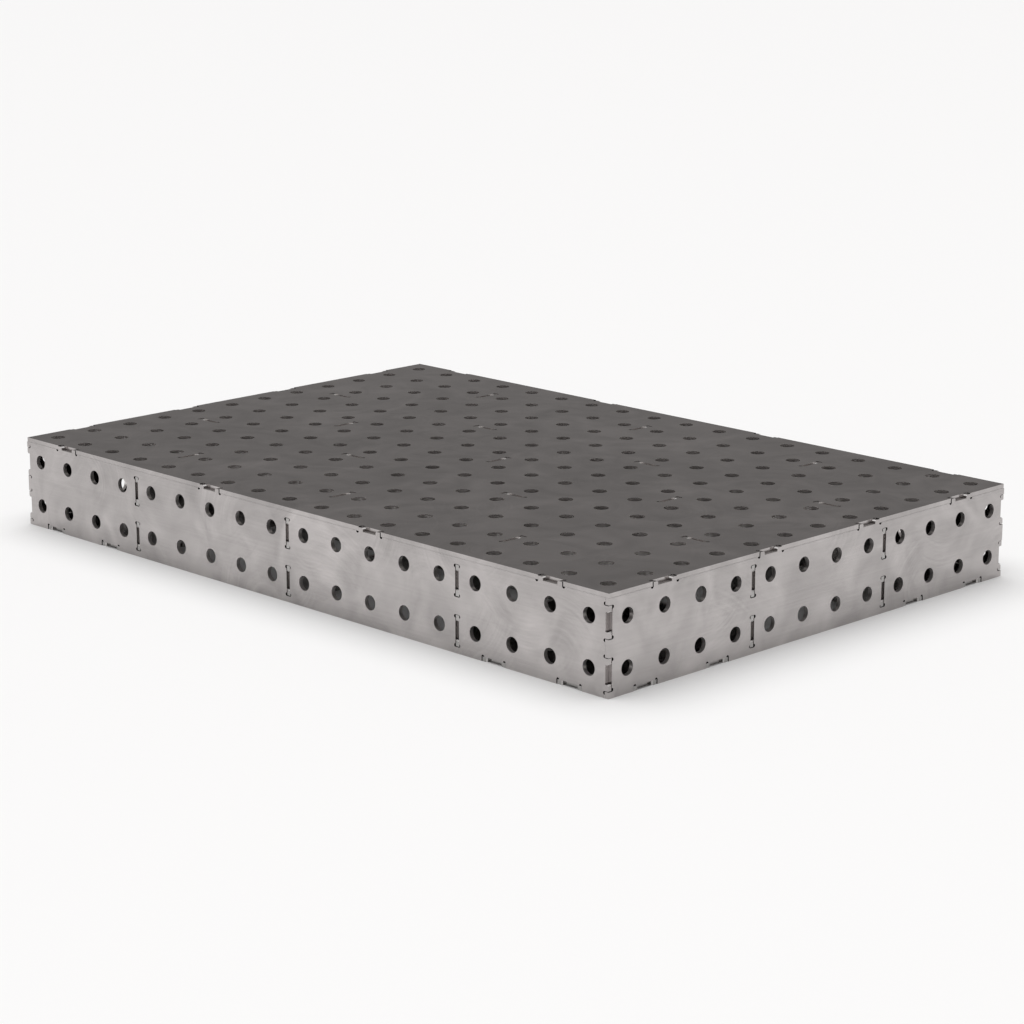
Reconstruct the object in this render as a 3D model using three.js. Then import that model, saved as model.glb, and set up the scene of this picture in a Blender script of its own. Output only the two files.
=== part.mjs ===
// Modular welding table: a flat-packed block of laser-cut steel plates that key together with tabs.
// Millimetres, +Z up. The origin is the middle of the underside, X runs along the longer side.
import * as THREE from "three";

// Hole grid. The outer faces lie half a pitch outside the outer holes, so that tables butt together.
const pitch = 50.8;
const columns = 18;
const rows = 12;
const height = 101.6;
const holeDiameter = 15.875;
const holeSides = 8;

// Plate, and the tabs that key one plate into another.
const plate = 4.7625;
const tabLength = 31.75;
const recessLength = 19.05; // weld recess in the end of a tab
const recessFloor = 0.45; // height left at the bottom of a weld recess
const recessBevel = 1.2; // at the mouth of a weld recess
const reliefRadius = 1.5875; // round relief in every inner corner
const reliefSides = 2;

// Places along a side, counted in pitches from the corner of the table.
const cornerBay = 4; // first rib
const firstTab = 1.5; // first tab of a top edge
const cornerTabs = [1, 3]; // tabs of a corner plate
const longTabs = 4;
const endTabs = 4;
const crossTabs = 3;

// Windows cut in the ribs.
const windowHeight = 40.64;
const windowMargin = 50.8; // from a rib line to the end of a window
const windowSides = 5;

// Holes for a leg or a caster in each corner plate.
const legHoleDiameter = 13.5;
const legHoleSpan = 76.2;

// Steel finishes.
const topSteel = 0x6b6866;
const sideSteel = 0xaaa6a3;
const ribSteel = 0x8f8c89;
const steelRoughness = 0.4;

// Clearances.
const faceGap = 0.1; // between the edge of a plate and the face that it seats on
const slotGap = 0.15; // beside a plate in its slot, notch or lap
const endGap = 0.7; // past each end of a tab in its slot or notch
const edgeInset = 0.6; // from the tip of a tab, or the edge of the top, to the outer face that it reaches
const endInset = 0.2; // from the upright edge of an end plate to the outer face that it reaches

// The height left by the two end tabs of a plate is shared out below, between and above them.
const landShare = 3 / 14;

// Worked out from the sizes above.
const length = columns * pitch;
const width = rows * pitch;
const underside = height - plate;
const bodyTop = underside - faceGap;
const middle = underside / 2;
const lowLevel = landShare * (bodyTop - 2 * tabLength) + tabLength / 2;
const levels = [lowLevel, bodyTop - lowLevel]; // end tabs, one above the other
const tiers = [(height - pitch) / 2, (height + pitch) / 2]; // hole rows of a side
const notchDepth = plate + slotGap;
const slotWidth = plate + 2 * slotGap;
const slotLength = tabLength + 2 * endGap;
const tabReach = plate + faceGap - edgeInset;
const lapDepth = (bodyTop + faceGap) / 2;

const crossLines = ribLines(columns, [cornerBay, Math.round(columns / 2), columns - cornerBay]);
const longLines = ribLines(rows, [cornerBay, rows - cornerBay]);
const longTabPlaces = spread(longTabs, columns);
const endTabPlaces = spread(endTabs, rows);
const crossTabPlaces = spread(crossTabs, rows);
const longCornerPlaces = cornerPlaces(columns);
const endCornerPlaces = cornerPlaces(rows);

// Rib centre lines from their count of pitches along a side.
function ribLines(pitches, counts) {
  return counts.map((count) => (count - pitches / 2) * pitch);
}

// Tab centres, evenly spaced between the first and the last of a side.
function spread(count, pitches) {
  const reach = (pitches / 2 - firstTab) * pitch;
  return Array.from({ length: count }, (_, i) => reach * ((2 * i) / (count - 1) - 1));
}

// Corner plate tab centres along a whole side.
function cornerPlaces(pitches) {
  const near = cornerTabs.map((count) => (count - pitches / 2) * pitch);
  return [...near, ...near.map((place) => -place)];
}

// Hole centres along a side.
function holePlaces(count) {
  return Array.from({ length: count }, (_, i) => (i + 0.5 - count / 2) * pitch);
}

// Points on an arc that turns counter-clockwise.
function arc(x, y, radius, start, sweep, steps) {
  return Array.from({ length: steps + 1 }, (_, i) => {
    const angle = start + (sweep * i) / steps;
    return [x + radius * Math.cos(angle), y + radius * Math.sin(angle)];
  });
}

function relief(x, y, start) {
  return arc(x, y, reliefRadius, start, Math.PI, reliefSides);
}

// A round hole whose flats touch the true circle.
function roundHole(x, y, diameter) {
  const corner = diameter / 2 / Math.cos(Math.PI / holeSides);
  const turn = Math.PI / holeSides;
  return arc(x, y, corner, turn, 2 * Math.PI, holeSides).slice(0, -1);
}

// A closed slot for a tab, with the reliefs bulging out of its long sides.
function tabSlot(x, y, upright) {
  const end = slotLength / 2 - reliefRadius;
  const side = slotWidth / 2;
  const points = [
    ...relief(-end, -side, Math.PI),
    ...relief(end, -side, Math.PI),
    ...relief(end, side, 0),
    ...relief(-end, side, 0),
  ];
  return points.map(([a, b]) => (upright ? [x - b, y + a] : [x + a, y + b]));
}

// A window with round ends.
function ribWindow(from, to) {
  const radius = windowHeight / 2;
  return [
    ...arc(to - radius, middle, radius, -Math.PI / 2, Math.PI, windowSides),
    ...arc(from + radius, middle, radius, Math.PI / 2, Math.PI, windowSides),
  ];
}

// Edge features. Each run is a list of [along the edge, out of the edge] about the feature's centre.
// A tab has a weld recess in its tip and a relief beside each root.
function tab(at) {
  const half = tabLength / 2;
  const recess = recessLength / 2;
  const run = [
    ...relief(-half - reliefRadius, 0, Math.PI),
    [-half, tabReach],
    [-recess - recessBevel, tabReach],
    [-recess, tabReach - recessBevel],
    [-recess, recessFloor],
    [recess, recessFloor],
    [recess, tabReach - recessBevel],
    [recess + recessBevel, tabReach],
    [half, tabReach],
    ...relief(half + reliefRadius, 0, Math.PI),
  ];
  return { at, run };
}

// A notch takes a tab from the side, with its reliefs in the floor.
function notch(at, depth = notchDepth) {
  const half = slotLength / 2;
  const run = [
    [-half, 0],
    ...relief(reliefRadius - half, -depth, Math.PI),
    ...relief(half - reliefRadius, -depth, Math.PI),
    [half, 0],
  ];
  return { at, run };
}

// A lap takes the crossing rib, with its reliefs in the side walls.
function lap(at) {
  const half = slotWidth / 2;
  const run = [
    [-half, 0],
    ...relief(-half, reliefRadius - lapDepth, Math.PI / 2),
    ...relief(half, reliefRadius - lapDepth, -Math.PI / 2),
    [half, 0],
  ];
  return { at, run };
}

// Walks counter-clockwise round a plate with the features of each edge in their order.
function outline(minU, minV, maxU, maxV, { bottom = [], right = [], top = [], left = [] }) {
  const sides = [
    [bottom, 1, [minU, minV], (at, s, n) => [at + s, minV - n]],
    [right, 1, [maxU, minV], (at, s, n) => [maxU + n, at + s]],
    [top, -1, [maxU, maxV], (at, s, n) => [at - s, maxV + n]],
    [left, -1, [minU, maxV], (at, s, n) => [minU - n, at - s]],
  ];
  return sides.flatMap(([features, order, corner, place]) => {
    const sorted = features.toSorted((a, b) => order * (a.at - b.at));
    return [corner, ...sorted.flatMap(({ at, run }) => run.map(([s, n]) => place(at, s, n)))];
  });
}

// A plate cut to an outline. Its outline lies in its own XY plane, its thickness along +Z.
function plateMesh(name, edge, cuts, colour) {
  const shape = new THREE.Shape(edge.map(([u, v]) => new THREE.Vector2(u, v)));
  shape.holes = cuts.map((cut) => new THREE.Path(cut.map(([u, v]) => new THREE.Vector2(u, v))));
  const solid = new THREE.ExtrudeGeometry(shape, { depth: plate, bevelEnabled: false });
  const material = new THREE.MeshStandardMaterial({ color: colour, roughness: steelRoughness, metalness: 1 });
  const mesh = new THREE.Mesh(solid, material);
  mesh.name = name;
  return mesh;
}

// Lays a plate flat with its lower face at z.
function lay(mesh, z) {
  mesh.position.z = z;
  return mesh;
}

// Stands a plate up along X with its middle plane at y.
function standAlongX(mesh, y) {
  mesh.rotation.x = Math.PI / 2;
  mesh.position.y = y + plate / 2;
  return mesh;
}

// Stands a plate up along Y with its middle plane at x.
function standAlongY(mesh, x) {
  mesh.rotation.set(Math.PI / 2, Math.PI / 2, 0);
  mesh.position.x = x - plate / 2;
  return mesh;
}

function gridHoles(across, up) {
  return across.flatMap((u) => up.map((v) => roundHole(u, v, holeDiameter)));
}

// The work surface: covers the block, notched for the side plates and slotted for the ribs.
function topPlate() {
  const reachX = length / 2 - edgeInset;
  const reachY = width / 2 - edgeInset;
  const depth = notchDepth - edgeInset;
  const edge = outline(-reachX, -reachY, reachX, reachY, {
    bottom: longTabPlaces.map((x) => notch(x, depth)),
    top: longTabPlaces.map((x) => notch(x, depth)),
    left: endTabPlaces.map((y) => notch(y, depth)),
    right: endTabPlaces.map((y) => notch(y, depth)),
  });
  const cuts = [
    ...gridHoles(holePlaces(columns), holePlaces(rows)),
    ...crossLines.flatMap((x) => crossTabPlaces.map((y) => tabSlot(x, y, true))),
    ...longLines.flatMap((y) => longTabPlaces.map((x) => tabSlot(x, y, false))),
  ];
  return lay(plateMesh("top_plate", edge, cuts, topSteel), underside);
}

// A long side: tabs up into the top plate and out through both end plates.
function longSide(name, y) {
  const reach = length / 2 - plate - faceGap;
  const edge = outline(-reach, 0, reach, bodyTop, {
    bottom: longCornerPlaces.map((x) => notch(x)),
    top: longTabPlaces.map((x) => tab(x)),
    left: levels.map((z) => tab(z)),
    right: levels.map((z) => tab(z)),
  });
  const cuts = [
    ...gridHoles(holePlaces(columns), tiers),
    ...crossLines.flatMap((x) => levels.map((z) => tabSlot(x, z, true))),
  ];
  return standAlongX(plateMesh(name, edge, cuts, sideSteel), y);
}

// A short side: its ends are notched for the tabs of the long sides.
function shortSide(name, x) {
  const reach = width / 2 - endInset;
  const depth = notchDepth - endInset;
  const edge = outline(-reach, 0, reach, bodyTop, {
    bottom: endCornerPlaces.map((y) => notch(y)),
    top: endTabPlaces.map((y) => tab(y)),
    left: levels.map((z) => notch(z, depth)),
    right: levels.map((z) => notch(z, depth)),
  });
  const cuts = [
    ...gridHoles(holePlaces(rows), tiers),
    ...longLines.flatMap((y) => levels.map((z) => tabSlot(y, z, true))),
  ];
  return standAlongY(plateMesh(name, edge, cuts, sideSteel), x);
}

// Windows between neighbouring lines, counting the two outer faces as lines.
function bayWindows(lines, half) {
  const ends = [-half, ...lines, half];
  return ends.slice(1).map((to, i) => ribWindow(ends[i] + windowMargin, to - windowMargin));
}

// A rib across the table. It drops over the long ribs, so its laps open downwards.
function crossRib(name, x, cornerPlacesHere) {
  const reach = width / 2 - plate - faceGap;
  const edge = outline(-reach, 0, reach, bodyTop, {
    bottom: [...longLines.map((y) => lap(y)), ...cornerPlacesHere.map((y) => notch(y))],
    top: crossTabPlaces.map((y) => tab(y)),
    left: levels.map((z) => tab(z)),
    right: levels.map((z) => tab(z)),
  });
  return standAlongY(plateMesh(name, edge, bayWindows(longLines, width / 2), ribSteel), x);
}

// A rib along the table, with laps that open upwards for the cross ribs.
function longRib(name, y) {
  const reach = length / 2 - plate - faceGap;
  const edge = outline(-reach, 0, reach, bodyTop, {
    bottom: longCornerPlaces.map((x) => notch(x)),
    top: [...longTabPlaces.map((x) => tab(x)), ...crossLines.map((x) => lap(x))],
    left: levels.map((z) => tab(z)),
    right: levels.map((z) => tab(z)),
  });
  return standAlongX(plateMesh(name, edge, bayWindows(crossLines, length / 2), ribSteel), y);
}

// A plate across the bottom of one corner bay, keyed into two sides and two ribs.
function cornerPlate(name, alongX, alongY) {
  const outer = plate + faceGap;
  const inner = cornerBay * pitch - plate / 2 - faceGap;
  const tabs = cornerTabs.map((count) => tab(count * pitch));
  const edge = outline(outer, outer, inner, inner, { bottom: tabs, right: tabs, top: tabs, left: tabs });
  const centre = (outer + inner) / 2;
  const legPlaces = [centre - legHoleSpan / 2, centre + legHoleSpan / 2];
  const cuts = legPlaces.flatMap((u) => legPlaces.map((v) => roundHole(u, v, legHoleDiameter)));
  const toPlace = ([u, v]) => [alongX * (u - length / 2), alongY * (v - width / 2)];
  const turned = alongX * alongY < 0 ? (points) => points.toReversed() : (points) => points;
  const placedCuts = cuts.map((cut) => turned(cut.map(toPlace)));
  return lay(plateMesh(name, turned(edge.map(toPlace)), placedCuts, ribSteel), 0);
}

const group = new THREE.Group();
group.add(
  topPlate(),
  longSide("front_side", -(width - plate) / 2),
  longSide("back_side", (width - plate) / 2),
  shortSide("left_end", -(length - plate) / 2),
  shortSide("right_end", (length - plate) / 2),
  crossRib("cross_rib_left", crossLines[0], endCornerPlaces),
  crossRib("cross_rib_middle", crossLines[1], []),
  crossRib("cross_rib_right", crossLines[2], endCornerPlaces),
  longRib("long_rib_front", longLines[0]),
  longRib("long_rib_back", longLines[1]),
  cornerPlate("corner_plate_front_left", 1, 1),
  cornerPlate("corner_plate_front_right", -1, 1),
  cornerPlate("corner_plate_back_left", 1, -1),
  cornerPlate("corner_plate_back_right", -1, -1),
);

export default group;
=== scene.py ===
import math

import bpy
from bpy.props import FloatProperty, FloatVectorProperty, IntProperty, PointerProperty
from mathutils import Matrix, Vector
from mathutils.geometry import tessellate_polygon


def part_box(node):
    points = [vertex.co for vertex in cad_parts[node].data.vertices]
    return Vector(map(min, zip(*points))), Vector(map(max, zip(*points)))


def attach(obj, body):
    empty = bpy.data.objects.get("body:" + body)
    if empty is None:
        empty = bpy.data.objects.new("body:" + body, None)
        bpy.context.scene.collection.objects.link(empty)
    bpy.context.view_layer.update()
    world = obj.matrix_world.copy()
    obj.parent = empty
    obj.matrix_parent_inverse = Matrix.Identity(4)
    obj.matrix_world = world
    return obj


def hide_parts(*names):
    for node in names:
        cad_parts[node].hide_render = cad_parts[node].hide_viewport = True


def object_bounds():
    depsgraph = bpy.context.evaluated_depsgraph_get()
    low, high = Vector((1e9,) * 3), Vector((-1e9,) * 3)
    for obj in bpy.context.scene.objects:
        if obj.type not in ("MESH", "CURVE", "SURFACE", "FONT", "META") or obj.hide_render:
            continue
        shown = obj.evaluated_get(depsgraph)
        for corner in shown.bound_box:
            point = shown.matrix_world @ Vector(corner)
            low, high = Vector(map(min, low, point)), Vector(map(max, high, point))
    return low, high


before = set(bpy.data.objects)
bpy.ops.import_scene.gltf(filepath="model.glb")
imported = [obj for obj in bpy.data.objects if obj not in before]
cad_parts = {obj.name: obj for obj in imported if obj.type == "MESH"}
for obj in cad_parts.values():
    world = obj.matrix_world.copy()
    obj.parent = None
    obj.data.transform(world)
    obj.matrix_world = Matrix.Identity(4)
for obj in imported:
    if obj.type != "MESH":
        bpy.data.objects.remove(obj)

bl_info = {
    "name": "Welding table",
    "version": (1, 0, 0),
    "blender": (4, 5, 0),
    "location": "View3D > Sidebar > Table",
    "description": "Builds the plates of a tab-and-slot welding table round its solid model",
    "category": "Object",
}

CAD_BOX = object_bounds()
TOP_LOW, TOP_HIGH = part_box("top_plate")
LENGTH = CAD_BOX[1][0] - CAD_BOX[0][0]
WIDTH = CAD_BOX[1][1] - CAD_BOX[0][1]
HEIGHT = TOP_HIGH.z
PLATE = TOP_HIGH.z - TOP_LOW.z
UNDERSIDE = TOP_LOW.z
BODY = "root"

# Counted places that belong to the design: tabs along each edge, the corner plates' tabs in pitches
# from the corner, and the share of an upright edge's free height that lies below its lower tab.
LONG_TABS = 4
END_TABS = 4
CROSS_TABS = 3
CORNER_TABS = (1, 3)
LAND_SHARE = 3 / 14

# Material slots of a plate: its ground faces, the open walls of its cuts, lightened as painted light,
# the walls of its gaps, painted near-black as painted shade, and the bare edges that seat on another
# plate or take weld, lightened as a painted highlight.
FACE, OPEN_WALL, GAP_WALL, BARE_EDGE = 0, 1, 2, 3


# Sizes and colours that a user would change.


class TableGrid(bpy.types.PropertyGroup):
    """The hole grid and the places counted along it."""

    pitch: FloatProperty(
        name="Pitch", description="Distance between holes", default=0.0508, unit="LENGTH"
    )
    hole: FloatProperty(
        name="Hole", description="Diameter of a fixture hole", default=0.015875, unit="LENGTH"
    )
    hole_steps: IntProperty(name="Hole steps", description="Segments round a hole", default=32)
    corner_bay: IntProperty(
        name="Corner bay", description="Pitches from the corner to the first rib", default=4
    )
    first_tab: FloatProperty(
        name="First tab", description="Pitches from the corner to the first top tab", default=1.5
    )


class TableJoint(bpy.types.PropertyGroup):
    """Tabs, slots, reliefs and clearances."""

    tab: FloatProperty(name="Tab", description="Length of a tab", default=0.03175, unit="LENGTH")
    recess: FloatProperty(
        name="Recess", description="Length of the weld recess", default=0.01905, unit="LENGTH"
    )
    recess_floor: FloatProperty(
        name="Recess floor",
        description="Tab height left in the weld recess",
        default=0.00045,
        unit="LENGTH",
    )
    recess_bevel: FloatProperty(
        name="Recess bevel", description="At the mouth of a weld recess", default=0.0012, unit="LENGTH"
    )
    relief: FloatProperty(
        name="Relief", description="Radius of a corner relief", default=0.0018, unit="LENGTH"
    )
    relief_steps: IntProperty(
        name="Relief steps", description="Segments round half a relief", default=8
    )
    face_gap: FloatProperty(
        name="Face gap",
        description="Between an edge and the face that it seats on",
        default=0.00002,
        unit="LENGTH",
    )
    slot_gap: FloatProperty(
        name="Slot gap", description="Beside a plate in its slot", default=0.00015, unit="LENGTH"
    )
    end_gap: FloatProperty(
        name="End gap", description="Past each end of a tab", default=0.0007, unit="LENGTH"
    )
    edge_inset: FloatProperty(
        name="Edge inset",
        description="From a tab's tip, or the top's edge, to the outer face that it reaches",
        default=0.0006,
        unit="LENGTH",
    )
    end_inset: FloatProperty(
        name="End inset",
        description="From an end plate's upright edge to the outer face that it reaches",
        default=0.0002,
        unit="LENGTH",
    )
    rim: FloatProperty(
        name="Rim", description="Width of the broken edge", default=0.00003, unit="LENGTH"
    )


class TableRibs(bpy.types.PropertyGroup):
    """Rib windows and leg holes."""

    window: FloatProperty(
        name="Window", description="Height of a rib window", default=0.04064, unit="LENGTH"
    )
    window_steps: IntProperty(
        name="Window steps", description="Segments round the end of a window", default=12
    )
    margin: FloatProperty(
        name="Margin",
        description="From a rib line to the end of a window",
        default=0.0508,
        unit="LENGTH",
    )
    leg_hole: FloatProperty(
        name="Leg hole", description="Diameter of a leg hole", default=0.0135, unit="LENGTH"
    )
    leg_span: FloatProperty(
        name="Leg span", description="Spacing of the leg holes", default=0.0762, unit="LENGTH"
    )


class TableFinish(bpy.types.PropertyGroup):
    """Steel colours, darkest and lightest of each, and how rough the ground steel is."""

    top_dark: FloatVectorProperty(
        name="Top dark",
        description="Dark of the top",
        default=(0.33, 0.313, 0.308),
        subtype="COLOR",
    )
    top_light: FloatVectorProperty(
        name="Top light",
        description="Light of the top",
        default=(0.555, 0.525, 0.518),
        subtype="COLOR",
    )
    side_dark: FloatVectorProperty(
        name="Side dark",
        description="Dark of the sides",
        default=(0.33, 0.313, 0.308),
        subtype="COLOR",
    )
    side_light: FloatVectorProperty(
        name="Side light",
        description="Light of the sides",
        default=(0.555, 0.525, 0.518),
        subtype="COLOR",
    )
    rib_dark: FloatVectorProperty(
        name="Rib dark",
        description="Dark of the ribs",
        default=(0.36, 0.35, 0.342),
        subtype="COLOR",
    )
    rib_light: FloatVectorProperty(
        name="Rib light",
        description="Light of the ribs",
        default=(0.48, 0.47, 0.46),
        subtype="COLOR",
    )
    # Open cuts: light colours, partly for the rough cut metal and partly painted light against the
    # shade in holes, slots and recesses.
    cut_dark: FloatVectorProperty(
        name="Cut dark",
        description="Dark of an open cut",
        default=(0.60, 0.572, 0.56),
        subtype="COLOR",
    )
    cut_light: FloatVectorProperty(
        name="Cut light",
        description="Light of an open cut",
        default=(0.84, 0.805, 0.79),
        subtype="COLOR",
    )
    # Bare edges: light colours for clean dressed metal and, on top of that, a painted highlight.
    bare_dark: FloatVectorProperty(
        name="Bare dark",
        description="Dark of a bare edge",
        default=(0.70, 0.68, 0.67),
        subtype="COLOR",
    )
    bare_light: FloatVectorProperty(
        name="Bare light",
        description="Light of a bare edge",
        default=(0.88, 0.86, 0.85),
        subtype="COLOR",
    )
    # Gap walls: near-black, a painted shade for the narrow gaps in the joints.
    gap_dark: FloatVectorProperty(
        name="Gap dark",
        description="Dark of a gap's walls",
        default=(0.004, 0.004, 0.004),
        subtype="COLOR",
    )
    gap_light: FloatVectorProperty(
        name="Gap light",
        description="Light of a gap's walls",
        default=(0.014, 0.013, 0.012),
        subtype="COLOR",
    )
    ground: FloatProperty(
        name="Ground", description="Roughness of the ground steel", default=0.21, subtype="FACTOR"
    )


class TableStage(bpy.types.PropertyGroup):
    """Camera, lights and floor."""

    azimuth: FloatProperty(
        name="Azimuth",
        description="Camera's turn to the right of the front",
        default=math.radians(45.44),
        subtype="ANGLE",
    )
    elevation: FloatProperty(
        name="Elevation",
        description="Camera's height above the horizon",
        default=math.radians(14.25),
        subtype="ANGLE",
    )
    distance: FloatProperty(
        name="Distance", description="Camera to aim point", default=3.1654, unit="LENGTH"
    )
    aim: FloatVectorProperty(
        name="Aim",
        description="Aim point from the middle of the underside",
        default=(0.0115, 0.0090, 0.0427),
        subtype="TRANSLATION",
    )
    lens: FloatProperty(name="Lens", description="Focal length in millimetres", default=100.7)
    floor_size: FloatProperty(
        name="Floor", description="Width of the floor", default=80.0, unit="LENGTH"
    )
    floor_colour: FloatVectorProperty(
        name="Floor colour",
        description="Colour of the floor",
        default=(0.9, 0.9, 0.9),
        subtype="COLOR",
    )
    room_colour: FloatVectorProperty(
        name="Room colour",
        description="Colour of the light from all round",
        default=(1.0, 0.965, 0.95),
        subtype="COLOR",
    )
    room_light: FloatProperty(
        name="Room light", description="Strength of the light from all round", default=0.23
    )
    sun_light: FloatProperty(
        name="Sun light", description="Strength of the overhead light", default=2.76
    )
    sun_spread: FloatProperty(
        name="Sun spread",
        description="Width of the overhead light, which softens the shadow",
        default=math.radians(80),
        subtype="ANGLE",
    )
    sun_tilt: FloatProperty(
        name="Sun tilt",
        description="Lean of the overhead light from straight down, about Y",
        default=math.radians(-7),
        subtype="ANGLE",
    )


GROUPS = {
    "grid": TableGrid,
    "joint": TableJoint,
    "ribs": TableRibs,
    "finish": TableFinish,
    "stage": TableStage,
}


class TableSettings(bpy.types.PropertyGroup):
    """All the settings of the table."""

    grid: PointerProperty(type=TableGrid)
    joint: PointerProperty(type=TableJoint)
    ribs: PointerProperty(type=TableRibs)
    finish: PointerProperty(type=TableFinish)
    stage: PointerProperty(type=TableStage)


def settings():
    return bpy.context.scene.welding_table


# Places along the table, worked out from the frame and the settings.


def body_top():
    return UNDERSIDE - settings().joint.face_gap


def levels():
    """Heights of the two end tabs of an upright plate."""
    tab = settings().joint.tab
    low = LAND_SHARE * (body_top() - 2 * tab) + tab / 2
    return [low, body_top() - low]


def tiers():
    """Heights of the two hole rows of a side."""
    pitch = settings().grid.pitch
    return [(HEIGHT - pitch) / 2, (HEIGHT + pitch) / 2]


def hole_places(side):
    pitch = settings().grid.pitch
    count = round(side / pitch)
    return [(i + 0.5 - count / 2) * pitch for i in range(count)]


def spread(count, side):
    """Tab centres, evenly spaced along a side."""
    grid = settings().grid
    reach = side / 2 - grid.first_tab * grid.pitch
    return [reach * (2 * i / (count - 1) - 1) for i in range(count)]


def cross_lines():
    grid = settings().grid
    count = round(LENGTH / grid.pitch)
    places = [grid.corner_bay, round(count / 2), count - grid.corner_bay]
    return [(place - count / 2) * grid.pitch for place in places]


def long_lines():
    grid = settings().grid
    reach = WIDTH / 2 - grid.corner_bay * grid.pitch
    return [-reach, reach]


def corner_places(side):
    """Corner plate tab centres along a whole side."""
    near = [count * settings().grid.pitch - side / 2 for count in CORNER_TABS]
    return near + [-place for place in near]


# Closed outlines, in each plate's own plane. A corner is (along, up, material slot of the wall that
# starts there), and the steel lies to the left of the walk.


def arc(x, y, radius, start, sweep, steps, wall):
    corners = []
    for i in range(steps + 1):
        angle = start + sweep * i / steps
        corners.append((x + radius * math.cos(angle), y + radius * math.sin(angle), wall))
    return corners


def relief(x, y, start, last_wall=GAP_WALL, sweep=math.pi, wall=GAP_WALL):
    """Half a round relief. Its last corner starts the wall that follows it."""
    # Its walls default to the gap steel, painted near-black as shade.
    joint = settings().joint
    corners = arc(x, y, joint.relief, start, sweep, joint.relief_steps, wall)
    corners[-1] = (*corners[-1][:2], last_wall)
    return corners


def round_hole(x, y, diameter):
    steps = settings().grid.hole_steps
    return arc(x, y, diameter / 2, 0, -2 * math.pi, steps, OPEN_WALL)[:-1]


def tab_slot(x, y, upright, ends=GAP_WALL, sides=FACE):
    """A closed slot for a tab, with reliefs bulging out of its long sides."""
    joint = settings().joint
    end = joint.tab / 2 + joint.end_gap - joint.relief
    side = PLATE / 2 + joint.slot_gap
    corners = relief(-end, side, math.pi, sides, -math.pi, ends)
    corners += relief(end, side, math.pi, ends, -math.pi, ends)
    corners += relief(end, -side, 0, sides, -math.pi, ends)
    corners += relief(-end, -side, 0, ends, -math.pi, ends)
    return [(x - b, y + a, kind) if upright else (x + a, y + b, kind) for a, b, kind in corners]


def rib_window(start, end):
    """A window with round ends, half way up the rib."""
    ribs = settings().ribs
    radius = ribs.window / 2
    middle = UNDERSIDE / 2
    steps = ribs.window_steps
    corners = arc(end - radius, middle, radius, math.pi / 2, -math.pi, steps, OPEN_WALL)
    corners += arc(start + radius, middle, radius, -math.pi / 2, -math.pi, steps, OPEN_WALL)
    return corners


def tab(at, floor=FACE):
    """A tab with a weld recess in its tip and a relief beside each root."""
    joint = settings().joint
    half = joint.tab / 2
    recess = joint.recess / 2
    bevel = joint.recess_bevel
    reach = PLATE + joint.face_gap - joint.edge_inset
    run = relief(-half - joint.relief, 0, math.pi)
    # The recess bevels take the bare-edge steel, whose light colour is a painted highlight.
    run += [(-half, reach, FACE), (-recess - bevel, reach, BARE_EDGE)]
    run += [(-recess, reach - bevel, FACE), (-recess, joint.recess_floor, floor)]
    run += [(recess, joint.recess_floor, FACE), (recess, reach - bevel, BARE_EDGE)]
    run += [(recess + bevel, reach, FACE), (half, reach, GAP_WALL)]
    run += relief(half + joint.relief, 0, math.pi, BARE_EDGE)
    return at, run


def notch(at, inset=0.0, wall=GAP_WALL):
    """A notch for a tab that comes in from the side, with reliefs in its floor."""
    joint = settings().joint
    half = joint.tab / 2 + joint.end_gap
    depth = PLATE + joint.slot_gap - inset
    run = [(-half, 0, GAP_WALL)]
    run += relief(joint.relief - half, -depth, math.pi, FACE, wall=wall)
    run += relief(half - joint.relief, -depth, math.pi, wall=wall)
    run += [(half, 0, BARE_EDGE)]
    return at, run


def lap(at):
    """A half-height slot for the crossing rib, with reliefs in its walls."""
    joint = settings().joint
    half = PLATE / 2 + joint.slot_gap
    depth = (body_top() + joint.face_gap) / 2
    run = [(-half, 0, GAP_WALL)]
    run += relief(-half, joint.relief - depth, math.pi / 2)
    run += relief(half, joint.relief - depth, -math.pi / 2)
    run += [(half, 0, BARE_EDGE)]
    return at, run


def outline(low, high, bottom=(), right=(), top=(), left=(), level=BARE_EDGE, upright=BARE_EDGE):
    """Walks counter-clockwise round a plate with the features of each edge in their order.

    The straight runs along the bottom and top have the wall called level, and those on the right and
    left have the one called upright.
    """
    (min_u, min_v), (max_u, max_v) = low, high
    sides = (
        (level, sorted(bottom), (min_u, min_v), lambda at, s, n: (at + s, min_v - n)),
        (upright, sorted(right), (max_u, min_v), lambda at, s, n: (max_u + n, at + s)),
        (level, sorted(top)[::-1], (max_u, max_v), lambda at, s, n: (at - s, max_v + n)),
        (upright, sorted(left)[::-1], (min_u, max_v), lambda at, s, n: (min_u - n, at - s)),
    )
    corners = []
    for wall, features, corner, place in sides:
        corners.append((*corner, wall))
        for at, run in features:
            corners += [(*place(at, s, n), kind) for s, n, kind in run]
            corners[-1] = (*corners[-1][:2], wall)
    return corners


def grid_holes(across, up):
    hole = settings().grid.hole
    return [round_hole(u, v, hole) for u in across for v in up]


# Plate meshes.


def inset_loop(loop, distance):
    """The loop moved into the steel by a distance, corner by corner."""
    points = [Vector(corner[:2]) for corner in loop]
    moved = []
    for i, point in enumerate(points):
        before = (point - points[i - 1]).normalized()
        after = (points[(i + 1) % len(points)] - point).normalized()
        first = Vector((-before.y, before.x))
        second = Vector((-after.y, after.x))
        moved.append(point + (first + second) * (distance / (1 + first.dot(second))))
    return moved


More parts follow.
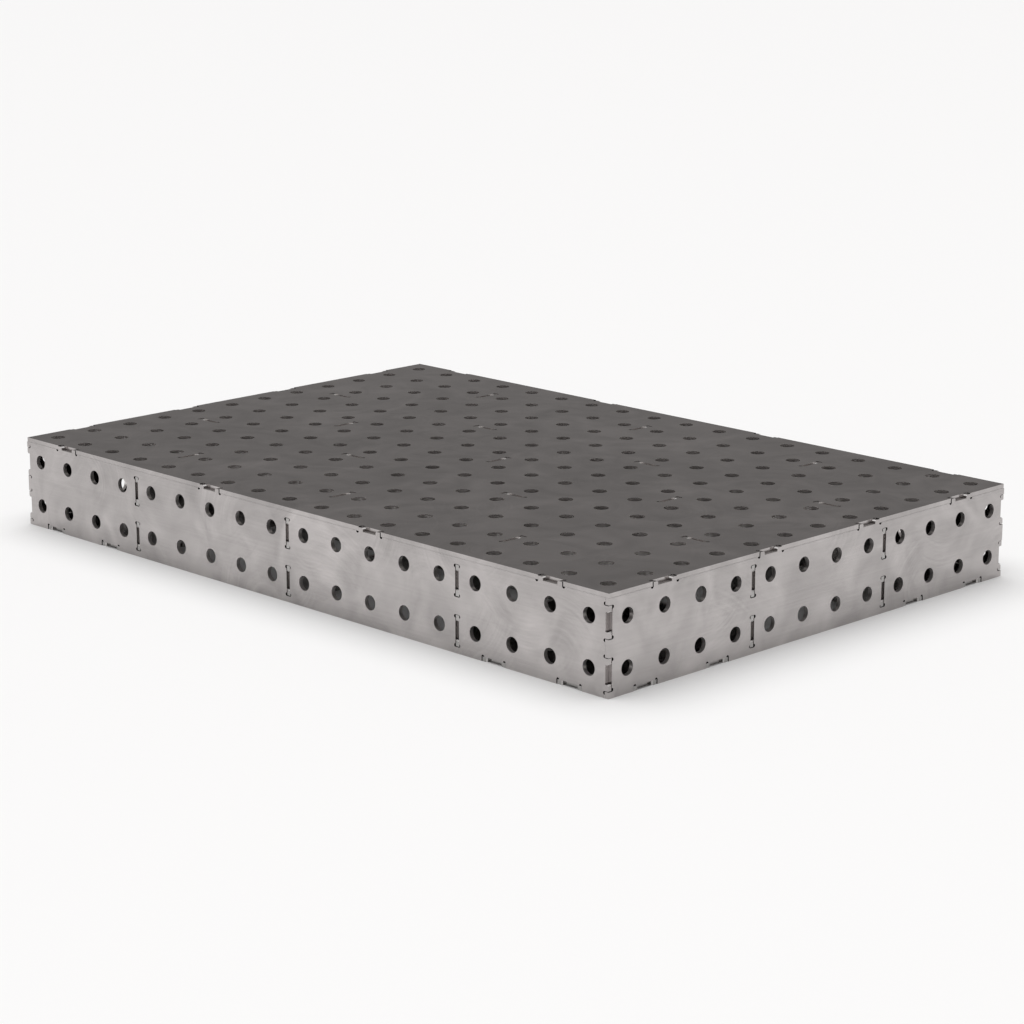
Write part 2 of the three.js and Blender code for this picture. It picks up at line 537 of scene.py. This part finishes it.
def plate_mesh(name, loops, rim, placed):
    """A flat plate with broken edges, from its outline and the outlines of its cuts."""
    vertices = []
    faces = []
    slots = []
    caps = [[], []]
    ring_shapes = ((rim, 0.0), (0.0, rim), (0.0, PLATE - rim), (rim, PLATE))
    for loop in loops:
        count = len(loop)
        starts = []
        for inset, depth in ring_shapes:
            starts.append(len(vertices))
            for point in inset_loop(loop, inset):
                vertices.append((point.x, point.y, depth))
        for low, high in zip(starts, starts[1:]):
            for i, (_, _, wall) in enumerate(loop):
                j = (i + 1) % count
                faces.append((low + i, low + j, high + j, high + i))
                slots.append(wall)
        caps[0].append(range(starts[0], starts[0] + count))
        caps[1].append(range(starts[3], starts[3] + count))
    for cap, facing in zip(caps, (-1, 1)):
        order = [index for ring in cap for index in ring]
        polygons = [[Vector(vertices[index]) for index in ring] for ring in cap]
        for a, b, c in tessellate_polygon(polygons):
            triangle = [order[a], order[b], order[c]]
            p, q, r = (Vector(vertices[index]) for index in triangle)
            if (q - p).cross(r - p).z * facing < 0:
                triangle.reverse()
            faces.append(triangle)
            slots.append(FACE)
    mesh = bpy.data.meshes.new(name)
    mesh.from_pydata(vertices, [], faces)
    mesh.polygons.foreach_set("material_index", slots)
    mesh.polygons.foreach_set("use_smooth", [True] * len(faces))
    mesh.transform(placed)
    mesh.set_sharp_from_angle(angle=math.radians(30))
    mesh.update()
    return mesh


def lay(z):
    """A plate lying flat with its lower face at z."""
    return Matrix.Translation((0, 0, z))


def stand_along_x(y):
    """A plate standing along X with its middle plane at y."""
    turn = Matrix(((1, 0, 0, 0), (0, 0, -1, 0), (0, 1, 0, 0), (0, 0, 0, 1)))
    return Matrix.Translation((0, y + PLATE / 2, 0)) @ turn


def stand_along_y(x):
    """A plate standing along Y with its middle plane at x."""
    turn = Matrix(((0, 0, 1, 0), (1, 0, 0, 0), (0, 1, 0, 0), (0, 0, 0, 1)))
    return Matrix.Translation((x - PLATE / 2, 0, 0)) @ turn


def add_plate(name, node, loops, placed, materials):
    mesh = plate_mesh(name, loops, settings().joint.rim, placed)
    for material in materials:
        mesh.materials.append(material)
    piece = bpy.data.objects.new(name, mesh)
    bpy.context.scene.collection.objects.link(piece)
    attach(piece, BODY)
    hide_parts(node)
    return piece


# Shader networks. The scales of the noises are in features to the metre.

BUMP_DEPTH = 0.0005


class Value:
    """A socket in arithmetic: every operation adds its Math node."""

    def __init__(self, net, socket):
        self.net = net
        self.socket = socket

    def math(self, operation, first, second=0.0):
        node = self.net.add("ShaderNodeMath", {"operation": operation}, {0: first, 1: second})
        return Value(self.net, node.outputs[0])

    def __add__(self, other):
        return self.math("ADD", self, other)

    def __radd__(self, other):
        return self.math("ADD", other, self)

    def __sub__(self, other):
        return self.math("SUBTRACT", self, other)

    def __rsub__(self, other):
        return self.math("SUBTRACT", other, self)

    def __mul__(self, other):
        return self.math("MULTIPLY", self, other)

    def __rmul__(self, other):
        return self.math("MULTIPLY", other, self)

    def __abs__(self):
        return self.math("ABSOLUTE", self)

    def clamped(self):
        return self.math("MINIMUM", self.math("MAXIMUM", self, 0.0), 1.0)

    def ramp(self, start, end):
        """Rises smoothly from 0 at start to 1 at end."""
        shape = {"interpolation_type": "SMOOTHSTEP"}
        node = self.net.add("ShaderNodeMapRange", shape, {0: self, 1: start, 2: end})
        return Value(self.net, node.outputs[0])


class Net:
    """A material's node tree."""

    def __init__(self, name):
        self.material = bpy.data.materials.new(name)
        self.material.use_nodes = True
        self.tree = self.material.node_tree
        self.tree.nodes.clear()

    def add(self, kind, options, inputs):
        """Adds a node, sets its options, then sets or links its sockets."""
        node = self.tree.nodes.new(kind)
        for key, value in options.items():
            setattr(node, key, value)
        for key, value in inputs.items():
            if isinstance(value, Value):
                value = value.socket
            if isinstance(value, bpy.types.NodeSocket):
                self.tree.links.new(value, node.inputs[key])
            else:
                node.inputs[key].default_value = value
        return node

    def value(self, node, output=0):
        return Value(self, node.outputs[output])

    def vector(self, operation, first, second, output=0):
        node = self.add("ShaderNodeVectorMath", {"operation": operation}, {0: first, 1: second})
        return node.outputs[output]

    def noise(self, place, scale, detail=2.0, roughness=0.5, distortion=0.0):
        inputs = {
            "Vector": place,
            "Scale": scale,
            "Detail": detail,
            "Roughness": roughness,
            "Distortion": distortion,
        }
        return self.value(self.add("ShaderNodeTexNoise", {}, inputs))

    def noise_along(self, distance, detail=1.0):
        """Noise that depends on one number alone."""
        inputs = {"W": distance, "Scale": 1.0, "Detail": detail}
        return self.value(self.add("ShaderNodeTexNoise", {"noise_dimensions": "1D"}, inputs))

    def mix(self, factor, first, second):
        node = self.add(
            "ShaderNodeMix", {"data_type": "RGBA"}, {0: factor, 6: first, 7: second}
        )
        return node.outputs[2]

    def finish(self, colour, roughness, height, strength, metallic, glint=0.5):
        bump = self.add(
            "ShaderNodeBump", {}, {"Strength": strength, "Distance": BUMP_DEPTH, "Height": height}
        )
        shader = self.add(
            "ShaderNodeBsdfPrincipled",
            {},
            {
                "Base Color": colour,
                "Metallic": metallic,
                "Roughness": roughness,
                "Specular IOR Level": glint,
                "Normal": bump.outputs["Normal"],
            },
        )
        self.add("ShaderNodeOutputMaterial", {}, {"Surface": shader.outputs["BSDF"]})
        return self.material


def opaque(colour):
    return (*colour, 1.0)


def sanding(net, place, cells, seed):
    """Patches of orbital sanding: broad and fine arcs about centres well outside each patch.

    Cells is the number of patches to the metre, and seed moves the whole pattern.
    """
    moved = net.vector("ADD", place, (seed, 0.37 * seed, 0.71 * seed))
    patch = net.add("ShaderNodeTexVoronoi", {}, {"Vector": moved, "Scale": cells})
    throw = 1.8 / cells
    aside = net.vector("SUBTRACT", patch.outputs["Color"], (0.5, 0.5, 0.5))
    aside = net.vector("MULTIPLY", aside, (throw, throw, throw))
    centre = net.vector("ADD", patch.outputs["Position"], aside)
    radius = Value(net, net.vector("DISTANCE", moved, centre, output="Value"))
    fade = 1.0 - net.value(patch, "Distance").ramp(0.12, 0.62)
    broad = net.noise_along(radius * 60.0, detail=1.0) - 0.45
    fine = net.noise_along(radius * 430.0, detail=2.0) - 0.5
    return broad * fade, fine * fade


def ground_steel(name, dark, light, roughness, grain):
    """Sheet steel, lightly ground: clouds, curved streaks, sanding arcs and fine rolling lines."""
    net = Net(name)
    place = net.add("ShaderNodeTexCoord", {}, {}).outputs["Object"]
    haze = net.noise(place, 4.5, detail=1.0, distortion=1.2) - 0.5
    clouds = net.noise(place, 17.0, detail=3.0, roughness=0.5, distortion=1.4) - 0.5
    aside = net.vector("ADD", place, (5.2, 1.7, 8.3))
    bend = net.noise(aside, 5.5, detail=1.0, distortion=1.6) - 0.5
    streak = (1.0 - abs(bend).ramp(0.0, 0.11)) * net.noise(place, 9.0, detail=0.0).ramp(0.48, 0.66)
    near_broad, near_fine = sanding(net, place, 8.0, 3.1)
    far_broad, far_fine = sanding(net, place, 13.0, 17.7)
    lines = net.noise(net.vector("MULTIPLY", place, grain), 1.0, detail=2.0) - 0.5
    broad = haze * 0.5 + clouds * 1.1 + streak * 0.32 + (near_broad + far_broad) * 0.75
    scratches = near_fine + far_fine + lines * 0.8
    tone = 0.42 + broad + scratches * 0.5
    colour = net.mix(tone.clamped(), opaque(dark), opaque(light))
    rough = roughness - clouds * 0.06 + scratches * 0.05
    return net.finish(colour, rough, scratches, 0.05, 1.0)


def open_cut_painted_light(name, across, colours):
    """Laser-cut wall that lies open: ridges that run through the plate and a faint scorched bloom, in
    colours lighter than the ground steel, partly for the rougher cut metal and partly as painted light
    that lightens walls the plates around them shade.
    """
    net = Net(name)
    place = net.add("ShaderNodeTexCoord", {}, {}).outputs["Object"]
    ridges = net.noise(net.vector("MULTIPLY", place, across), 1500.0, detail=1.0) - 0.5
    scorch = net.noise(place, 60.0, detail=3.0) - 0.5
    tone = 0.5 + ridges * 0.5 + scorch * 0.8
    # painted light: cut_dark and cut_light lighten the walls of holes, slots and notches against the
    # shade they sit in
    colour = net.mix(tone.clamped(), opaque(colours.cut_dark), opaque(colours.cut_light))
    return net.finish(colour, 0.32 + scorch * 0.2, ridges, 0.15, 0.88)


def gap_painted_shade(name, colours):
    """Laser-cut wall inside a joint, painted nearly black as painted shade for the narrow gap; the
    noise only speckles that shade.
    """
    net = Net(name)
    place = net.add("ShaderNodeTexCoord", {}, {}).outputs["Object"]
    # painted shade: the noise mixes two near-blacks, gap_dark and gap_light, standing in for the shade
    # in the gap
    scale = net.noise(place, 220.0, detail=2.0)
    colour = net.mix(scale, opaque(colours.gap_dark), opaque(colours.gap_light))
    return net.finish(colour, 0.7, scale, 0.2, 0.2, glint=0.05)


def bare_edge_highlight(name, across, colours):
    """Edge dressed clean for welding, with a dull bloom; its light, mostly matte colour is also a
    painted highlight that lights up under the overhead light.
    """
    net = Net(name)
    place = net.add("ShaderNodeTexCoord", {}, {}).outputs["Object"]
    ridges = net.noise(net.vector("MULTIPLY", place, across), 900.0, detail=2.0) - 0.5
    bloom = net.noise(place, 90.0, detail=2.0)
    tone = 0.2 + bloom * 0.6 + ridges * 0.4
    # painted highlight: bare_dark and bare_light are far lighter than the ground steel, partly for the
    # clean metal and partly to paint the highlight
    colour = net.mix(tone.clamped(), opaque(colours.bare_dark), opaque(colours.bare_light))
    return net.finish(colour, 0.45 + ridges * 0.1, ridges, 0.1, 0.25)


# Scales along X, Y and Z, for the ridges in a cut's wall and the rolling lines on a face.
ACROSS = {"flat": (1, 1, 0), "along_x": (1, 0, 1), "along_y": (0, 1, 1)}
GRAIN = {"flat": (5, 700, 1), "along_x": (5, 1, 700), "along_y": (1, 5, 700)}


def finishes(finish, facing):
    """The steels of a plate in slot order, each made once for a finish and the way it faces."""
    colours = settings().finish
    names = (f"{finish}_face_{facing}", f"open_cut_painted_light_{facing}", "gap_painted_shade", f"bare_edge_highlight_{facing}")
    if names[FACE] not in bpy.data.materials:
        dark = getattr(colours, finish + "_dark")
        light = getattr(colours, finish + "_light")
        ground_steel(names[FACE], dark, light, colours.ground, GRAIN[facing])
    if names[OPEN_WALL] not in bpy.data.materials:
        open_cut_painted_light(names[OPEN_WALL], ACROSS[facing], colours)
    if names[GAP_WALL] not in bpy.data.materials:
        gap_painted_shade(names[GAP_WALL], colours)
    if names[BARE_EDGE] not in bpy.data.materials:
        bare_edge_highlight(names[BARE_EDGE], ACROSS[facing], colours)
    return [bpy.data.materials[name] for name in names]


# Operators, one for each piece or group of like pieces.


class AddTopPlate(bpy.types.Operator):
    """The work surface, notched for the sides and slotted for the ribs"""

    bl_idname = "table.add_top_plate"
    bl_label = "Top plate"

    def execute(self, context):
        inset = settings().joint.edge_inset
        reach_x = LENGTH / 2 - inset
        reach_y = WIDTH / 2 - inset
        # The notch walls here, and the hole and slot walls below, take the open-cut steel, lightened
        # as painted light.
        along = [notch(x, inset, OPEN_WALL) for x in spread(LONG_TABS, LENGTH)]
        across = [notch(y, inset, OPEN_WALL) for y in spread(END_TABS, WIDTH)]
        edge = outline(
            (-reach_x, -reach_y),
            (reach_x, reach_y),
            bottom=along,
            right=across,
            top=along,
            left=across,
            level=FACE,
            upright=FACE,
        )
        cuts = grid_holes(hole_places(LENGTH), hole_places(WIDTH))
        for x in cross_lines():
            cuts += [tab_slot(x, y, True, OPEN_WALL, OPEN_WALL) for y in spread(CROSS_TABS, WIDTH)]
        for y in long_lines():
            cuts += [tab_slot(x, y, False, OPEN_WALL, OPEN_WALL) for x in spread(LONG_TABS, LENGTH)]
        loops = [edge, *cuts]
        add_plate("table_top", "top_plate", loops, lay(UNDERSIDE), finishes("top", "flat"))
        return {"FINISHED"}


class AddLongSides(bpy.types.Operator):
    """The front and back, with tabs out through both ends"""

    bl_idname = "table.add_long_sides"
    bl_label = "Long sides"

    def execute(self, context):
        reach = LENGTH / 2 - PLATE - settings().joint.face_gap
        end_tabs = [tab(z) for z in levels()]
        edge = outline(
            (-reach, 0),
            (reach, body_top()),
            bottom=[notch(x) for x in corner_places(LENGTH)],
            right=end_tabs,
            top=[tab(x, OPEN_WALL) for x in spread(LONG_TABS, LENGTH)],
            left=end_tabs,
        )
        cuts = grid_holes(hole_places(LENGTH), tiers())
        cuts += [tab_slot(x, z, True) for x in cross_lines() for z in levels()]
        for node, sign in (("front_side", -1), ("back_side", 1)):
            placed = stand_along_x(sign * (WIDTH - PLATE) / 2)
            add_plate(
                node + "_plate", node, [edge, *cuts], placed, finishes("side", "along_x")
            )
        return {"FINISHED"}


class AddShortEnds(bpy.types.Operator):
    """The two ends, notched for the tabs of the long sides"""

    bl_idname = "table.add_short_ends"
    bl_label = "Short ends"

    def execute(self, context):
        inset = settings().joint.end_inset
        reach = WIDTH / 2 - inset
        end_notches = [notch(z, inset) for z in levels()]
        edge = outline(
            (-reach, 0),
            (reach, body_top()),
            bottom=[notch(y) for y in corner_places(WIDTH)],
            right=end_notches,
            top=[tab(y, OPEN_WALL) for y in spread(END_TABS, WIDTH)],
            left=end_notches,
            upright=FACE,
        )
        cuts = grid_holes(hole_places(WIDTH), tiers())
        cuts += [tab_slot(y, z, True) for y in long_lines() for z in levels()]
        for node, sign in (("left_end", -1), ("right_end", 1)):
            placed = stand_along_y(sign * (LENGTH - PLATE) / 2)
            add_plate(
                node + "_plate", node, [edge, *cuts], placed, finishes("side", "along_y")
            )
        return {"FINISHED"}


def windows(lines, side):
    """Windows between neighbouring lines, counting the outer faces as lines."""
    ends = [-side / 2, *lines, side / 2]
    margin = settings().ribs.margin
    return [rib_window(start + margin, end - margin) for start, end in zip(ends, ends[1:])]


class AddCrossRibs(bpy.types.Operator):
    """The ribs across the table, with laps that open downwards"""

    bl_idname = "table.add_cross_ribs"
    bl_label = "Cross ribs"

    def execute(self, context):
        reach = WIDTH / 2 - PLATE - settings().joint.face_gap
        end_tabs = [tab(z) for z in levels()]
        names = ("cross_rib_left", "cross_rib_middle", "cross_rib_right")
        for node, x in zip(names, cross_lines()):
            notches = [] if node == "cross_rib_middle" else corner_places(WIDTH)
            edge = outline(
                (-reach, 0),
                (reach, body_top()),
                bottom=[lap(y) for y in long_lines()] + [notch(y) for y in notches],
                right=end_tabs,
                top=[tab(y, OPEN_WALL) for y in spread(CROSS_TABS, WIDTH)],
                left=end_tabs,
            )
            loops = [edge, *windows(long_lines(), WIDTH)]
            placed = stand_along_y(x)
            add_plate(node + "_plate", node, loops, placed, finishes("rib", "along_y"))
        return {"FINISHED"}


class AddLongRibs(bpy.types.Operator):
    """The ribs along the table, with laps that open upwards"""

    bl_idname = "table.add_long_ribs"
    bl_label = "Long ribs"

    def execute(self, context):
        reach = LENGTH / 2 - PLATE - settings().joint.face_gap
        end_tabs = [tab(z) for z in levels()]
        top_tabs = [tab(x, OPEN_WALL) for x in spread(LONG_TABS, LENGTH)]
        edge = outline(
            (-reach, 0),
            (reach, body_top()),
            bottom=[notch(x) for x in corner_places(LENGTH)],
            right=end_tabs,
            top=top_tabs + [lap(x) for x in cross_lines()],
            left=end_tabs,
        )
        loops = [edge, *windows(cross_lines(), LENGTH)]
        for node, y in zip(("long_rib_front", "long_rib_back"), long_lines()):
            placed = stand_along_x(y)
            add_plate(node + "_plate", node, loops, placed, finishes("rib", "along_x"))
        return {"FINISHED"}


def turn_to_corner(loop, x, y):
    """A loop of the front left corner, mirrored into the corner on the side of x and y."""
    turned = [(-x * (u - LENGTH / 2), -y * (v - WIDTH / 2), wall) for u, v, wall in loop]
    if x * y > 0:
        return turned
    walls = [wall for _, _, wall in turned]
    walls = [walls[-1], *walls[:-1]]
    return [(u, v, wall) for (u, v, _), wall in zip(turned, walls)][::-1]


class AddCornerPlates(bpy.types.Operator):
    """The four plates across the bottom of the corner bays"""

    bl_idname = "table.add_corner_plates"
    bl_label = "Corner plates"

    def execute(self, context):
        grid = settings().grid
        ribs = settings().ribs
        gap = settings().joint.face_gap
        outer = PLATE + gap
        inner = grid.corner_bay * grid.pitch - PLATE / 2 - gap
        tabs = [tab(count * grid.pitch) for count in CORNER_TABS]
        edge = outline(
            (outer, outer), (inner, inner), bottom=tabs, right=tabs, top=tabs, left=tabs
        )
        centre = (outer + inner) / 2
        legs = (centre - ribs.leg_span / 2, centre + ribs.leg_span / 2)
        loops = [edge] + [round_hole(u, v, ribs.leg_hole) for u in legs for v in legs]
        for depth, y in (("front", -1), ("back", 1)):
            for hand, x in (("left", -1), ("right", 1)):
                turned = [turn_to_corner(loop, x, y) for loop in loops]
                node = f"corner_plate_{depth}_{hand}"
                add_plate(node + "_piece", node, turned, lay(0), finishes("rib", "flat"))
        return {"FINISHED"}


def plain_material(name, colour, roughness):
    net = Net(name)
    shader = net.add(
        "ShaderNodeBsdfPrincipled", {}, {"Base Color": opaque(colour), "Roughness": roughness}
    )
    net.add("ShaderNodeOutputMaterial", {}, {"Surface": shader.outputs["BSDF"]})
    return net.material


def add_camera(stage):
    level = math.cos(stage.elevation)
    back = Vector(
        (
            math.sin(stage.azimuth) * level,
            -math.cos(stage.azimuth) * level,
            math.sin(stage.elevation),
        )
    )
    data = bpy.data.cameras.new("camera")
    data.lens = stage.lens
    data.sensor_width = 36.0
    data.clip_end = 2.5 * stage.floor_size
    camera = bpy.data.objects.new("camera", data)
    camera.location = Vector(stage.aim) + back * stage.distance
    camera.rotation_mode = "QUATERNION"
    camera.rotation_quaternion = (-back).to_track_quat("-Z", "Y")
    bpy.context.scene.collection.objects.link(camera)
    bpy.context.scene.camera = camera


def add_floor(stage):
    half = stage.floor_size / 2
    mesh = bpy.data.meshes.new("floor")
    corners = [(-half, -half, 0), (half, -half, 0), (half, half, 0), (-half, half, 0)]
    mesh.from_pydata(corners, [], [(0, 1, 2, 3)])
    mesh.materials.append(plain_material("floor_paint", stage.floor_colour, roughness=0.9))
    floor = bpy.data.objects.new("floor", mesh)
    bpy.context.scene.collection.objects.link(floor)


def add_room_light(stage):
    world = bpy.data.worlds.new("studio")
    world.use_nodes = True
    background = world.node_tree.nodes["Background"]
    background.inputs["Color"].default_value = opaque(stage.room_colour)
    background.inputs["Strength"].default_value = stage.room_light
    bpy.context.scene.world = world


def add_sun(stage):
    """A wide overhead light that steel doesn't mirror."""
    data = bpy.data.lights.new("overhead", "SUN")
    data.energy = stage.sun_light
    data.angle = stage.sun_spread
    light = bpy.data.objects.new("overhead", data)
    light.rotation_euler = (0, stage.sun_tilt, 0)
    light.visible_glossy = False
    bpy.context.scene.collection.objects.link(light)


class AddStage(bpy.types.Operator):
    """Floor, soft light and camera"""

    bl_idname = "table.add_stage"
    bl_label = "Stage"

    def execute(self, context):
        stage = settings().stage
        add_floor(stage)
        add_room_light(stage)
        add_sun(stage)
        add_camera(stage)
        context.scene.view_settings.view_transform = "Standard"
        return {"FINISHED"}


STEPS = (
    AddStage,
    AddTopPlate,
    AddLongSides,
    AddShortEnds,
    AddCrossRibs,
    AddLongRibs,
    AddCornerPlates,
)


class TablePanel(bpy.types.Panel):
    """Lists the table's pieces in the sidebar"""

    bl_idname = "VIEW3D_PT_welding_table"
    bl_label = "Welding table"
    bl_space_type = "VIEW_3D"
    bl_region_type = "UI"
    bl_category = "Table"

    def draw(self, context):
        for step in STEPS:
            self.layout.operator(step.bl_idname)


CLASSES = (*GROUPS.values(), TableSettings, *STEPS, TablePanel)


def register():
    for cls in CLASSES:
        bpy.utils.register_class(cls)
    bpy.types.Scene.welding_table = PointerProperty(type=TableSettings)


def unregister():
    del bpy.types.Scene.welding_table
    for cls in reversed(CLASSES):
        bpy.utils.unregister_class(cls)


def main():
    register()
    for step in STEPS:
        group, name = step.bl_idname.split(".")
        getattr(getattr(bpy.ops, group), name)()


if __name__ == "__main__":
    main()
